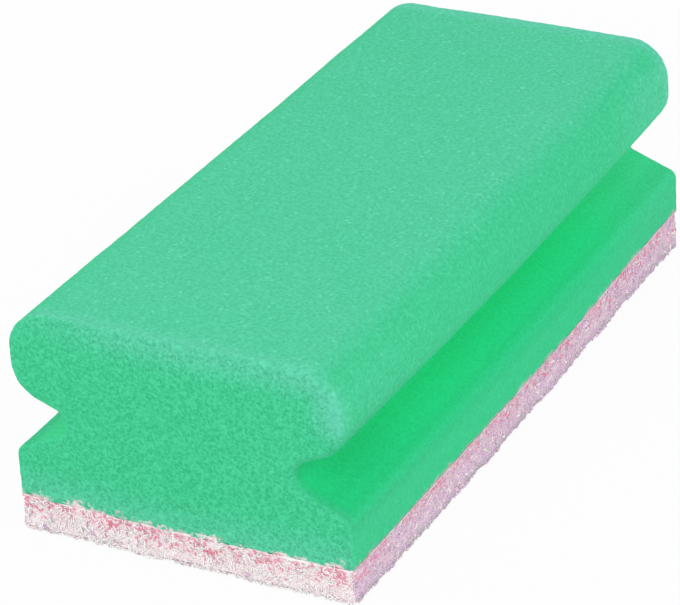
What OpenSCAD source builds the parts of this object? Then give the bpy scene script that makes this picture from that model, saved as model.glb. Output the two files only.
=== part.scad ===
// Hand-grip cleaning sponge. A foam block with a finger groove along each long side
// is joined by a thin film of glue to a flat pad of matted fibre.
// The origin is the middle of the pad's underside. X runs across the sponge, Y along it, Z up.
// All sizes are in millimetres.

/* [Sponge] */
// Length that the foam, the glue and the pad are sliced to together
sponge_length = 150; // [80:1:250]
// Width of the pad, of the glue and of the foam's base
sponge_width = 70; // [60:0.5:110]

/* [Scouring pad] */
// Thickness of the matted fibre
pad_thickness = 7.4; // [3:0.1:15]
// Radius of the upright corners of the pad and of the glue on it, seen from above
pad_corner_radius = 1; // [0.5:0.1:8]

/* [Glue film] */
// Thickness of the glue between the pad and the foam
glue_thickness = 0.5; // [0.2:0.1:1.5]

/* [Foam] */
// Height of the foam above the glue
foam_height = 39.4; // [34:0.1:70]
// How far each side of the head stands in from the side of the base
head_inset = 1.2; // [0:0.1:8]
// Radius of the head's long upper edges
crown_radius = 8.3; // [2:0.1:12]
// Radius of the head's long lower edges, above the fingers
brow_radius = 7.4; // [2:0.1:11]
// Radius of the base's long upper edges, below the fingers
shoulder_radius = 2.1; // [0.5:0.1:6]

/* [Finger grooves] */
// Height of each groove's middle line above the glue
groove_height = 16.6; // [11:0.1:21]
// Depth of each groove, from the side of the base in to the root
groove_depth = 11.25; // [8:0.25:22]
// Radius of each groove's root
groove_root_radius = 3.5; // [1:0.1:6]
// Angle between the lower and the upper wall of each groove
groove_angle = 44; // [20:1:56]

/* [Hidden] */
$fn = 96;

// Heights above the surface that the sponge lies on
glue_z = pad_thickness;
foam_z = glue_z + glue_thickness;
groove_z = foam_z + groove_height;
top_z = foam_z + foam_height;

// Half widths
base_half = sponge_width / 2;
head_half = base_half - head_inset;
neck_half = base_half - groove_depth;

// The groove's two flat walls would meet here if its root were sharp
wall_slope = tan(groove_angle / 2);
root_centre = neck_half + groove_root_radius;
groove_apex = root_centre - groove_root_radius / sin(groove_angle / 2);

// Heights at which the groove's walls meet the flat sides of the base and of the head
shoulder_z = groove_z - (base_half - groove_apex) * wall_slope;
brow_z = groove_z + (head_half - groove_apex) * wall_slope;

// A section is a list of corners, [x, y, radius] in its own plane, and goes round anticlockwise.
// This is one side of the foam's section, from the glue up.
foam_side = [
    [base_half, foam_z, 0],
    [base_half, shoulder_z, shoulder_radius],
    [groove_apex, groove_z, groove_root_radius],
    [head_half, brow_z, brow_radius],
    [head_half, top_z, crown_radius]
];

// The whole section: up the right side and down the left
foam_section = concat(
    foam_side,
    [for (i = [len(foam_side) - 1:-1:0]) [-foam_side[i].x, foam_side[i].y, foam_side[i].z]]
);

// What a section's corner number i is and has. The last corner is followed by the first.
function corner(section, i) = section[(i + len(section)) % len(section)];
function spot(section, i) = [corner(section, i).x, corner(section, i).y];
function radius(section, i) = corner(section, i).z;
function unit(v) = v / norm(v);
function ahead(section, i) = unit(spot(section, i + 1) - spot(section, i));
function behind(section, i) = unit(spot(section, i - 1) - spot(section, i));
function wall(section, i) = norm(spot(section, i + 1) - spot(section, i));
function inner_angle(section, i) = acos(ahead(section, i) * behind(section, i));
function is_hollow(section, i) = cross(-behind(section, i), ahead(section, i)) < 0;

// Length of wall that a corner's round wants on each side of the corner
function reach(section, i) = radius(section, i) / tan(inner_angle(section, i) / 2);

// Rounds that want more wall than there is between them share it, so each one shrinks alike
function share(section, i) =
    wall(section, i) / max(wall(section, i), reach(section, i) + reach(section, i + 1));
function shrink(section, i) = min(share(section, i - 1), share(section, i));

// A round starts on the wall behind its corner, ends on the wall ahead and has its own centre
function fitted_radius(section, i) = radius(section, i) * shrink(section, i);
function run(section, i) = reach(section, i) * shrink(section, i);
function round_start(section, i) = spot(section, i) + run(section, i) * behind(section, i);
function round_end(section, i) = spot(section, i) + run(section, i) * ahead(section, i);
function round_centre(section, i) =
    spot(section, i) + unit(ahead(section, i) + behind(section, i))
    * fitted_radius(section, i) / sin(inner_angle(section, i) / 2);

// The full circle that a corner's round is part of. It is a hair larger than its walls allow,
// so that it crosses them: one that only touched them could leave a sliver there.
hair = 0.002;
module round_circle(section, i) {
    translate(round_centre(section, i))
        circle(fitted_radius(section, i) + hair);
}

// What lies outside a corner's round, out to a point that is clear of the sharp corner
clear = 1;
function outside(section, i) =
    spot(section, i) - clear * unit(ahead(section, i) + behind(section, i));
module round_waste(section, i) {
    difference() {
        polygon([outside(section, i), round_end(section, i), round_start(section, i)]);
        round_circle(section, i);
    }
}

// A section with its corners rounded. A hollow corner begins as a flat across its round,
// which the circle then cuts out. The others begin sharp and lose their waste.
module rounded(section) {
    corners = [0:len(section) - 1];
    difference() {
        polygon([
            for (i = corners)
                each is_hollow(section, i)
                    ? [round_start(section, i), round_end(section, i)]
                    : [spot(section, i)]
        ]);
        for (i = corners)
            if (is_hollow(section, i)) round_circle(section, i);
            else if (radius(section, i) > 0) round_waste(section, i);
    }
}

// A flat layer with rounded upright corners, from one height to another, as wide as the sponge
module layer(low_z, high_z) {
    half = [sponge_width, sponge_length] / 2;
    plan = [
        [half.x, half.y, pad_corner_radius],
        [-half.x, half.y, pad_corner_radius],
        [-half.x, -half.y, pad_corner_radius],
        [half.x, -half.y, pad_corner_radius]
    ];
    translate([0, 0, low_z])
        linear_extrude(height = high_z - low_z)
            rounded(plan);
}

// The grip: a broad head on a narrower neck, over a base as wide as the pad.
// It is cut to its section along the whole length and sliced square at both ends.
module foam_body() {
    color("mediumseagreen")
        rotate([90, 0, 0])
            linear_extrude(height = sponge_length, center = true)
                rounded(foam_section);
}

// The glue, which shows as a thin rose line round the sponge
module glue_film() {
    color("palevioletred")
        layer(glue_z, foam_z);
}

// The pad of matted fibre that scours, with its underside on Z = 0
module scouring_pad() {
    color("mistyrose")
        layer(0, glue_z);
}

foam_body();
glue_film();
scouring_pad();
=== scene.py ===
"""Hand-grip cleaning sponge: a foam grip, a film of glue and a scouring pad of matted fibre.

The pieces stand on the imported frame. Shapes are worked out in millimetres in the frame's own axes,
X across the sponge, Y along it and Z up, and are written to Blender in metres.
"""

from __future__ import annotations

import logging
import math
from dataclasses import dataclass
from enum import Enum
from typing import Any, Callable, Mapping, Sequence, Union

import bpy
import numpy as np
from mathutils import Matrix, Vector

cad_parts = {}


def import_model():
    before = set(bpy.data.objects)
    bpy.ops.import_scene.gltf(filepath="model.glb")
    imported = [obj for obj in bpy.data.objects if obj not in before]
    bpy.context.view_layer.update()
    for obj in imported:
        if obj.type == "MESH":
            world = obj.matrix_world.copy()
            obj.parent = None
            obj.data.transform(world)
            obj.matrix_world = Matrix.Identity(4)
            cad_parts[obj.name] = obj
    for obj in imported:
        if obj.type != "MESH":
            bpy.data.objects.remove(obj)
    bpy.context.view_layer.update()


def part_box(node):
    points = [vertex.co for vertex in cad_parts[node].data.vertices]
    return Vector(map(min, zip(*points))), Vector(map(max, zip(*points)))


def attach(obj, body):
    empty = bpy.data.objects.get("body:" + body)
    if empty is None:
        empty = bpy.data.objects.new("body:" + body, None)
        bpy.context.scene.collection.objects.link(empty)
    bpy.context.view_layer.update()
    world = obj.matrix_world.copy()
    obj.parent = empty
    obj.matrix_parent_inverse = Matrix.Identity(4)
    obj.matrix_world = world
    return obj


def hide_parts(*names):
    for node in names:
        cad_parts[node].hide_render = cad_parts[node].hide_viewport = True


Array = np.ndarray
Colour = tuple[float, float, float]
Spot = tuple[float, float, float]
Softness = Callable[[Array, float], Array]

BODY = "root"
METRES = 0.001  # metres in a millimetre
PAST_ROUND = 0.01  # millimetres that a section's line goes on past its last round
GROUND = (1.0, 1.0, 0.0)  # times a place, the spot on the ground below it

log = logging.getLogger("sponge")


# Numbers on arrays


def unit(vectors: Array) -> Array:
    """Vectors divided by their own length.

    Args:
        vectors: an array whose last axis holds the vectors.

    Returns:
        The same array of vectors, each one unit long.
    """
    length = np.linalg.norm(vectors, axis=-1, keepdims=True)
    return vectors / np.maximum(length, 1e-12)


@dataclass(frozen=True)
class Step:
    """A soft step: 0 below low, 1 above high, and 3t² - 2t³ of the share t in between.

    High may be below low, for a step down.
    """

    low: float
    high: float

    def at(self, value: Array) -> Array:
        """The step's height at each of these numbers."""
        share = np.clip((value - self.low) / (self.high - self.low), 0.0, 1.0)
        return share * share * (3 - 2 * share)


@dataclass(frozen=True)
class Band:
    """A soft band: a step up from start to full, times a step down from fading to end."""

    start: float
    full: float
    fading: float
    end: float

    def at(self, value: Array) -> Array:
        """The band's height at each of these numbers."""
        return Step(self.start, self.full).at(value) * Step(self.end, self.fading).at(value)


@dataclass(frozen=True)
class Spread:
    """A range of numbers, from low to high."""

    low: float
    high: float

    def pick(self, share: Any) -> Any:
        """The number that lies that share, from 0 to 1, of the way from low to high.

        The share may be an array, or a Signal in a material.
        """
        return self.low + (self.high - self.low) * share


def cell_random(cells: Array, seed: int) -> Array:
    """One random number from 0 to 1 for each cell of a lattice, the same on every run.

    The three whole numbers of a cell, each times a large odd number, are XORed together with the
    seed, stirred by shifts and products, and their low 24 bits are divided by 2 to the 24.

    Args:
        cells: whole numbers, three on the last axis.
        seed: gives another pattern for each number.

    Returns:
        The random numbers, one for each cell.
    """
    x, y, z = np.moveaxis(cells.astype(np.int64), -1, 0)
    mixed = (x * 0x8DA6B343) ^ (y * 0xD8163841) ^ (z * 0xCB1AB31F) ^ (seed * 0x9E3779B1)
    mixed &= 0xFFFFFFFF
    for shift, factor in ((15, 0x2C1B3C6D), (12, 0x297A2D39)):
        mixed = ((mixed ^ (mixed >> shift)) * factor) & 0xFFFFFFFF
    return ((mixed ^ (mixed >> 15)) & 0xFFFFFF) / float(1 << 24)


def rolling(points: Array, size: float, seed: int) -> Array:
    """Smooth unevenness from -1 to 1, with swells about one size across.

    A point lies in a cube of a lattice. The random numbers at the cube's eight corners are mixed by
    the soft step 3t² - 2t³ of the point's place between them along each axis.

    Args:
        points: places in millimetres, three on the last axis.
        size: the edge of a lattice cube in millimetres.
        seed: gives another pattern for each number.

    Returns:
        One number for each point.
    """
    place = points / size
    cell = np.floor(place).astype(np.int64)
    share = place - cell
    share = share * share * (3 - 2 * share)
    total = np.zeros(points.shape[:-1])
    for corner in np.ndindex(2, 2, 2):
        weight = np.prod(np.where(corner, share, 1 - share), axis=-1)
        total += weight * cell_random(cell + corner, seed)
    return total * 2 - 1


@dataclass(frozen=True)
class Roll:
    """Smooth unevenness: the most that it comes to, the size of its swells, and its seed."""

    most: float
    size: float
    seed: int

    def at(self, points: Array) -> Array:
        """What it comes to at each point, from minus the most to the most."""
        return self.most * rolling(points, self.size, self.seed)


def rolled(points: Array, rolls: Sequence[Roll]) -> Array:
    """The sum of several kinds of unevenness at each point."""
    return sum(roll.at(points) for roll in rolls)


def pore_distance(points: Array, size: float, seed: int) -> Array:
    """Distance from each point to the nearest pore's centre, in lattice sizes.

    Each cube of a lattice holds one centre at a random place. The distance is the least of those to
    the centres in the point's own cube and in the 26 cubes round it.

    Args:
        points: places in millimetres, three on the last axis.
        size: the edge of a lattice cube in millimetres, and so the pores' mean spacing.
        seed: gives another pattern for each number.

    Returns:
        One distance for each point, seldom above 1.
    """
    place = points / size
    cell = np.floor(place).astype(np.int64)
    nearest = np.full(points.shape[:-1], 9.0)
    for step in np.ndindex(3, 3, 3):
        near = cell + np.array(step) - 1
        centre = near + np.stack([cell_random(near, seed + k) for k in range(3)], axis=-1)
        nearest = np.minimum(nearest, np.sum((centre - place) ** 2, axis=-1))
    return np.sqrt(nearest)


# Shapes


@dataclass(frozen=True)
class Corner:
    """A corner of a section, in millimetres: how far out, how far from the joint, and its radius."""

    out: float
    height: float
    radius: float = 0.0

    @property
    def spot(self) -> Array:
        """The sharp corner's place."""
        return np.array([self.out, self.height])


def rounded_line(corners: Sequence[Corner], step: float = 0.05) -> Array:
    """A line through corners, each with its round, as closely spaced points.

    A round's circle touches both walls. It starts radius / tan(half the corner's angle) from the
    corner, and its centre is radius / sin(half the angle) away along the angle's middle line.

    Args:
        corners: the line's corners in order. The first and the last stay sharp.
        step: spacing of the points on a round, in millimetres.

    Returns:
        Points as rows of [out, height].
    """
    spots = [corner.spot for corner in corners]
    pieces = [spots[0][None]]
    for before, corner, after in zip(spots, corners[1:-1], spots[2:]):
        back, on = unit(before - corner.spot), unit(after - corner.spot)
        half = math.acos(float(np.clip(back @ on, -1, 1))) / 2
        start = corner.spot + back * corner.radius / math.tan(half)
        centre = corner.spot + unit(back + on) * corner.radius / math.sin(half)
        sweep = math.copysign(math.pi - 2 * half, back[1] * on[0] - back[0] * on[1])
        count = max(2, math.ceil(abs(sweep) * corner.radius / step))
        angle = np.linspace(0, sweep, count + 1)[:, None]
        arm = start - centre
        across = np.array([-arm[1], arm[0]])
        pieces.append(centre + np.cos(angle) * arm + np.sin(angle) * across)
    pieces.append(spots[-1][None])
    return np.concatenate(pieces)


def slab_side(half_width: float, height: float, edge_radius: float) -> Array:
    """The right side of a flat slab's section, whose far edge is rounded.

    Args:
        half_width: half the slab's width.
        height: its thickness.
        edge_radius: the far edge's radius.

    Returns:
        Points as rows of [out, height], from the joint to the far face.
    """
    return rounded_line(
        [
            Corner(half_width, 0.0),
            Corner(half_width, height, edge_radius),
            Corner(half_width - edge_radius - PAST_ROUND, height),
        ]
    )


@dataclass(frozen=True)
class Faces:
    """The faces of a mesh: a grid's quads, and the few larger faces that close it."""

    quads: Array
    closing: tuple[Array, ...] = ()


def facing(points: Array, quads: Array) -> Array:
    """The way that the surface faces at each point: the mean of its quads' crossed diagonals.

    Args:
        points: the mesh's points.
        quads: four point numbers a row, anticlockwise seen from outside.

    Returns:
        One unit vector for each point.
    """
    a, b, c, d = (points[quads[:, k]] for k in range(4))
    crossed = np.cross(c - a, d - b)
    total = [
        np.bincount(quads.ravel(), np.repeat(crossed[:, k], 4), len(points)) for k in range(3)
    ]
    return unit(np.stack(total, axis=1))


@dataclass(frozen=True)
class Grid:
    """How finely a block is divided.

    Rows go up each side, columns across the far face, stations along Y between the two ends'
    rounds, and turns round each end's quarter circle.
    """

    rows: int
    columns: int
    stations: int
    turns: int


class SlicedBlock:
    """A block of one section, sliced to length with soft ends, and glued at its joint face.

    The section is the same on the left and on the right. The skin is a grid: round the section from
    the joint, up the right side, across the far face and down the left, and along Y from end to end.
    Near an end the skin turns in through a quarter circle, whose radius may differ round the section:
    at the angle a it has moved in by r(1 - cos a) and is r(1 - sin a) short of the end. Each end is
    a grid of straight rows from the right edge to the left. The joint face closes the block.
    """

    def __init__(self, side: Array, softness: Softness, length: float, grid: Grid) -> None:
        """Works out the block's points and faces, upright on its joint face.

        Args:
            side: points [out, height] up the right side, from the joint to the far face.
            softness: gives the radius at each point of the section, for the end at that side of Y.
            length: the block's length along Y.
            grid: how finely it is divided.
        """
        self.rows, self.columns, self.length = grid.rows, grid.columns, length
        outline, normal, run = self._outline(side)
        near, rear = softness(outline, -1.0)[:, None], softness(outline, 1.0)[:, None]
        angle = np.linspace(math.pi / 2, 0, grid.turns + 1)
        straight, none = 0 * angle, np.zeros(grid.stations - 1)
        share = np.linspace(0, 1, grid.stations + 1)[1:-1]
        along = np.concatenate([straight - 1, 2 * share - 1, straight + 1])
        near_short = np.concatenate([1 - np.sin(angle), 1 - share, straight])
        rear_short = np.concatenate([straight, share, 1 - np.sin(angle[::-1])])
        near_inset = np.concatenate([1 - np.cos(angle), none, straight])
        rear_inset = np.concatenate([straight, none, 1 - np.cos(angle[::-1])])
        turned = np.concatenate([angle, none, angle[::-1]])

        self.last_station = len(along) - 1
        inset = near * near_inset + rear * rear_inset
        ring = outline[:, None] - normal[:, None] * inset[..., None]
        y = along * length / 2 + near * near_short - rear * rear_short
        skin = np.stack([ring[..., 0], y, ring[..., 1]], axis=-1)
        self.number = np.arange(skin.shape[0] * skin.shape[1]).reshape(skin.shape[:2])

        front, front_number, front_in = self._end(skin, 0, self.number.size)
        back, back_number, back_in = self._end(
            skin, self.last_station, self.number.size + len(front)
        )
        self.points = np.concatenate([skin.reshape(-1, 3), front, back])
        ends = len(front) + len(back)
        self.sliced = np.concatenate([np.tile(np.sin(turned), len(outline)), np.ones(ends)])
        self.from_joint = np.concatenate([np.repeat(run, len(along)), np.full(ends, run.max())])
        self.from_edge = np.concatenate([length / 2 - np.abs(y).ravel(), front_in, back_in])
        self.faces = self._faces(front_number, back_number)

    def _outline(self, side: Array) -> tuple[Array, Array, Array]:
        """Equal steps up the right side, across the far face and down the left.

        Args:
            side: closely spaced points up the right side.

        Returns:
            Points, outward normals and distances from the joint along the skin.
        """
        run = np.concatenate([[0], np.cumsum(np.linalg.norm(np.diff(side, axis=0), axis=1))])
        at = np.linspace(0, run[-1], self.rows + 1)
        slope = np.gradient(side, run, axis=0)
        right = np.stack([np.interp(at, run, side[:, k]) for k in (0, 1)], axis=1)
        tangent = np.stack([np.interp(at, run, slope[:, k]) for k in (0, 1)], axis=1)
        normal = unit(np.stack([tangent[:, 1], -tangent[:, 0]], axis=1))
        normal[-1] = (0.0, 1.0)

        flip = np.array([-1.0, 1.0])
        share = np.linspace(0, 1, self.columns + 1)[1:-1, None]
        far = right[-1] * (1 - share) + right[-1] * flip * share
        outline = np.concatenate([right, far, (right * flip)[::-1]])
        normals = np.concatenate([normal, 0 * far + [0.0, 1.0], (normal * flip)[::-1]])
        inward = right[-1, 0] - np.abs(far[:, 0])
        from_joint = np.concatenate([at, at[-1] + inward, at[::-1]])
        return outline, normals, from_joint

    def _end(self, skin: Array, station: int, first: int) -> tuple[Array, Array, Array]:
        """One sliced end: each row goes straight from the skin's right edge to its left edge.

        Args:
            skin: the skin's grid of points.
            station: the number of the skin's last station at that end.
            first: the number that the end's first new point gets.

        Returns:
            The new points, the numbers of all the points in the end's grid, and how far each new
            point lies from the end's right edge or far edge.
        """
        edge = skin[:, station]
        share = np.linspace(0, 1, self.columns + 1)[1:-1, None]
        right, left = edge[: self.rows, None], edge[::-1][: self.rows, None]
        fresh = right * (1 - share) + left * share
        number = np.empty((self.rows + 1, self.columns + 1), int)
        number[:, 0] = self.number[: self.rows + 1, station]
        number[:, -1] = self.number[::-1, station][: self.rows + 1]
        number[-1] = self.number[self.rows : self.rows + self.columns + 1, station]
        number[:-1, 1:-1] = first + np.arange(fresh.shape[0] * fresh.shape[1]).reshape(
            fresh.shape[:2]
        )
        inward = np.minimum(right[..., 0] - fresh[..., 0], edge[self.rows, 2] - fresh[..., 2])
        return fresh.reshape(-1, 3), number, inward.ravel()

    def _faces(self, front: Array, back: Array) -> Faces:
        """Quads on the skin and the ends, and strips across the joint face.

        Args:
            front: point numbers of the front end's grid.
            back: point numbers of the back end's grid.

        Returns:
            All faces, anticlockwise seen from outside.
        """
        n = self.number
        skin = np.stack([n[:-1, :-1], n[:-1, 1:], n[1:, 1:], n[1:, :-1]], axis=-1)
        near = np.stack([front[:-1, :-1], front[1:, :-1], front[1:, 1:], front[:-1, 1:]], axis=-1)
        rear = np.stack([back[:-1, :-1], back[:-1, 1:], back[1:, 1:], back[1:, :-1]], axis=-1)
        quads = np.concatenate([grid.reshape(-1, 4) for grid in (skin, near, rear)])
        strips = np.stack([n[0, 1:-2], n[-1, 1:-2], n[-1, 2:-1], n[0, 2:-1]], axis=-1)
        first = np.concatenate([front[0], [n[-1, 1], n[0, 1]]])
        last = np.concatenate([back[0][::-1], [n[0, -2], n[-1, -2]]])
        return Faces(quads, (*strips, first, last))

    def hung(self, joint: float) -> None:
        """Turns the block upside down, so that it hangs from its joint face at that height."""
        self.points[:, 2] = joint - self.points[:, 2]
        closing = tuple(face[::-1] for face in self.faces.closing)
        self.faces = Faces(self.faces.quads[:, ::-1], closing)

    def stood(self, joint: float) -> None:
        """Stands the block on its joint face at that height."""
        self.points[:, 2] += joint

    def facing(self) -> Array:
        """The way that the skin and the ends face at each point."""
        return facing(self.points, self.faces.quads)


def make_piece(
    name: str, points: Array, faces: Faces, layers: Mapping[str, Array], material: bpy.types.Material
) -> bpy.types.Object:
    """Writes a mesh and its object, which stays at the origin.

    Args:
        name: the piece's name.
        points: places in millimetres.
        faces: the faces. The grid is shaded smooth and the closing faces flat.
        layers: one number for each point, under the name that a material reads it by.
        material: the piece's material.

    Returns:
        The new object, in the scene.
    """
    sizes = np.concatenate(
        [
            np.full(len(faces.quads), faces.quads.shape[1]),
            np.array([len(face) for face in faces.closing], int),
        ]
    )
    corners = np.concatenate([faces.quads.ravel(), *faces.closing]).astype(np.int32)
    starts = np.concatenate([[0], np.cumsum(sizes)[:-1]]).astype(np.int32)
    rounded = np.arange(len(sizes)) < len(faces.quads)

    mesh = bpy.data.meshes.new(name)
    mesh.vertices.add(len(points))
    mesh.vertices.foreach_set("co", (points * METRES).astype(np.float32).ravel())
    mesh.loops.add(len(corners))
    mesh.loops.foreach_set("vertex_index", corners)
    mesh.polygons.add(len(sizes))
    mesh.polygons.foreach_set("loop_start", starts)
    mesh.polygons.foreach_set("use_smooth", rounded)
    for layer, values in layers.items():
        data = mesh.attributes.new(layer, "FLOAT", "POINT")
        data.data.foreach_set("value", np.asarray(values, np.float32))
    mesh.update(calc_edges=True)
    mesh.validate()
    mesh.materials.append(material)
    piece = bpy.data.objects.new(name, mesh)
    bpy.context.scene.collection.objects.link(piece)
    log.info("%s: %d points, %d faces", name, len(points), len(sizes))
    return piece


# Materials


def linear(red: int, green: int, blue: int) -> Colour:
    """A screen colour as the linear colour that a shader takes.

    Below 0.04045 a part is divided by 12.92, and above it is ((part + 0.055) / 1.055) to the 2.4.

    Args:
        red: how much red, from 0 to 255.
        green: how much green.
        blue: how much blue.

    Returns:
        The three parts, each from 0 to 1.
    """
    shares = (part / 255 for part in (red, green, blue))
    red_, green_, blue_ = (
        s / 12.92 if s <= 0.04045 else ((s + 0.055) / 1.055) ** 2.4 for s in shares
    )
    return red_, green_, blue_


class Signal:
    """A node's output, on which Python's operators add Math nodes."""

    def __init__(self, shader: "Shader", socket: bpy.types.NodeSocket) -> None:
        """Wraps an output socket of one of the shader's nodes."""
        self.shader, self.socket = shader, socket

    def math(self, operation: str, left: "Value", right: "Value" = 0.0) -> "Signal":
        """The result of one Math node."""
        node = self.shader.node("ShaderNodeMath", {"operation": operation}, {0: left, 1: right})
        return Signal(self.shader, node.outputs[0])

    def __add__(self, other: "Value") -> "Signal":
        """self + other."""
        return self.math("ADD", self, other)

    def __radd__(self, other: "Value") -> "Signal":
        """other + self."""
        return self.math("ADD", other, self)

    def __sub__(self, other: "Value") -> "Signal":
        """self - other."""
        return self.math("SUBTRACT", self, other)

    def __rsub__(self, other: "Value") -> "Signal":
        """other - self."""
        return self.math("SUBTRACT", other, self)

    def __mul__(self, other: "Value") -> "Signal":
        """self * other."""
        return self.math("MULTIPLY", self, other)

    def __rmul__(self, other: "Value") -> "Signal":
        """other * self."""
        return self.math("MULTIPLY", other, self)

    def clamped(self) -> "Signal":
        """The same number, held between 0 and 1."""
        node = self.shader.node("ShaderNodeClamp", {}, {"Value": self})
        return Signal(self.shader, node.outputs[0])

    def ramp(self, step: Step) -> "Signal":
        """The height of a soft step at this number."""
        settings = {"interpolation_type": "SMOOTHSTEP"}
        inputs = {"Value": self, "From Min": step.low, "From Max": step.high}
        node = self.shader.node("ShaderNodeMapRange", settings, inputs)
        return Signal(self.shader, node.outputs[0])


Value = Union[Signal, float]
Hue = Union[Signal, Colour]


class Shader:
    """One material's nodes, which all come from the node method."""

    def __init__(self, name: str) -> None:
        """Starts an empty material of that name."""
        self.material = bpy.data.materials.new(name)
        self.material.use_nodes = True
        self.tree = self.material.node_tree
        self.tree.nodes.clear()

    def node(
        self, kind: str, settings: Mapping[str, Any], inputs: Mapping[Union[str, int], Any]
    ) -> bpy.types.Node:
        """Makes a node.

        Args:
            kind: the node's type.
            settings: its properties, set first.
            inputs: a value or a link for each socket, under the socket's name or number.

        Returns:
            The new node.
        """
        made = self.tree.nodes.new(kind)
        for name, value in settings.items():
            setattr(made, name, value)
        for key, value in inputs.items():
            named = [s for s in made.inputs if s.enabled and s.name == key]
            socket = made.inputs[key] if isinstance(key, int) else named[0]
            if isinstance(value, Signal):
                self.tree.links.new(value.socket, socket)
            elif isinstance(value, tuple) and socket.type == "RGBA":
                socket.default_value = (*value, 1.0)
            else:
                socket.default_value = value
        return made

    def output(self, node: bpy.types.Node, name: str) -> Signal:
        """A node's output of that name, among those in use."""
        return Signal(self, next(s for s in node.outputs if s.enabled and s.name == name))

    def place(self) -> Signal:
        """Object coordinates."""
        return self.output(self.node("ShaderNodeTexCoord", {}, {}), "Object")

    def layer(self, name: str) -> Signal:
        """A number that the mesh keeps for each point."""
        node = self.node("ShaderNodeAttribute", {"attribute_name": name}, {})
        return self.output(node, "Fac")

    def noise(self, place: Signal, size: float, detail: float = 0.0, bend: float = 0.0) -> Signal:
        """Cloudy noise round 0.5.

        Args:
            place: where it is read.
            size: about how large a cloud is, in millimetres.
            detail: how many times finer clouds are added.
            bend: how far the clouds are drawn out of shape.

        Returns:
            One number for each place.
        """
        scale = 1 / (size * METRES)
        inputs = {"Vector": place, "Scale": scale, "Detail": detail, "Distortion": bend}
        return self.output(self.node("ShaderNodeTexNoise", {}, inputs), "Fac")

    def cells(self, place: Signal, size: float, feature: str = "F1") -> Signal:
        """Distance to the nearest cell centre, in cell sizes, the size being in millimetres."""
        inputs = {"Vector": place, "Scale": 1 / (size * METRES)}
        node = self.node("ShaderNodeTexVoronoi", {"feature": feature}, inputs)
        return self.output(node, "Distance")

    def mix(self, share: Value, first: Hue, second: Hue) -> Signal:
        """A colour between two, the second where the share is 1."""
        inputs = {"Factor": share, "A": first, "B": second}
        node = self.node("ShaderNodeMix", {"data_type": "RGBA"}, inputs)
        return self.output(node, "Result")

    def scaled(self, colour: Hue, factor: Value) -> Signal:
        """A colour times a number."""
        node = self.node(
            "ShaderNodeVectorMath", {"operation": "SCALE"}, {"Vector": colour, "Scale": factor}
        )
        return self.output(node, "Vector")

    def bump(self, height: Signal, depth: float, strength: float = 1.0) -> Signal:
        """A normal from a height of 0 to 1 that stands for that depth in millimetres."""
        inputs = {"Height": height, "Distance": depth * METRES, "Strength": strength}
        return self.output(self.node("ShaderNodeBump", {}, inputs), "Normal")

    def finish(self, surface: Signal) -> bpy.types.Material:
        """Sends a surface to the output and returns the material."""
        self.node("ShaderNodeOutputMaterial", {}, {"Surface": surface})
        return self.material

    def principled(self, inputs: Mapping[str, Any]) -> bpy.types.Material:
        """The material with one Principled shader that takes these inputs."""
        node = self.node("ShaderNodeBsdfPrincipled", {}, inputs)
        return self.finish(self.output(node, "BSDF"))


@dataclass(frozen=True)
class Mottle:
    """The colours of matted fibre as a mixture: rose specks on pale rose near the glue, and lilac
    as painted shade on the long sides.
    """

    pale: Colour = linear(253, 245, 246)
    blush: Colour = linear(251, 228, 233)
    rose: Colour = linear(243, 162, 182)
    # Painted shade: the lilac that the long sides take in shade
    lilac: Colour = linear(235, 199, 225)
    patch_size: float = 5.0
    speck_size: float = 1.1
    blushing: Step = Step(0.35, 0.65)
    rosy_patch: Step = Step(0.25, 0.6)
    rosy_speck: Step = Step(0.42, 0.6)
    strongest: float = 0.75

    def mixed(self, shader: Shader, place: Signal, rosy: Value, long_side: Value) -> Signal:
        """The mixture at a place.

        Args:
            shader: the material's nodes.
            place: Object coordinates.
            rosy: 1 at the glue, down to 0 where there is no more rose.
            long_side: 1 on the sponge's long sides, where lilac is painted as their shade.

        Returns:
            The colour.
        """
        patches = shader.noise(place, self.patch_size, detail=2.0)
        specks = shader.noise(place, self.speck_size, detail=1.0, bend=1.0)
        colour = shader.mix(patches.ramp(self.blushing), self.pale, self.blush)
        # Painted shade: lilac on the long sides
        colour = shader.mix(long_side * self.strongest, colour, self.lilac)
        reach = specks.ramp(self.rosy_speck) * patches.ramp(self.rosy_patch)
        return shader.mix(reach * rosy * self.strongest, colour, self.rose)


@dataclass(frozen=True)
class TornCells:
    """Large open cells, so far apart, each of them a painted glint out to where the step ends."""

    spacing: float
    bright: Step


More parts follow.
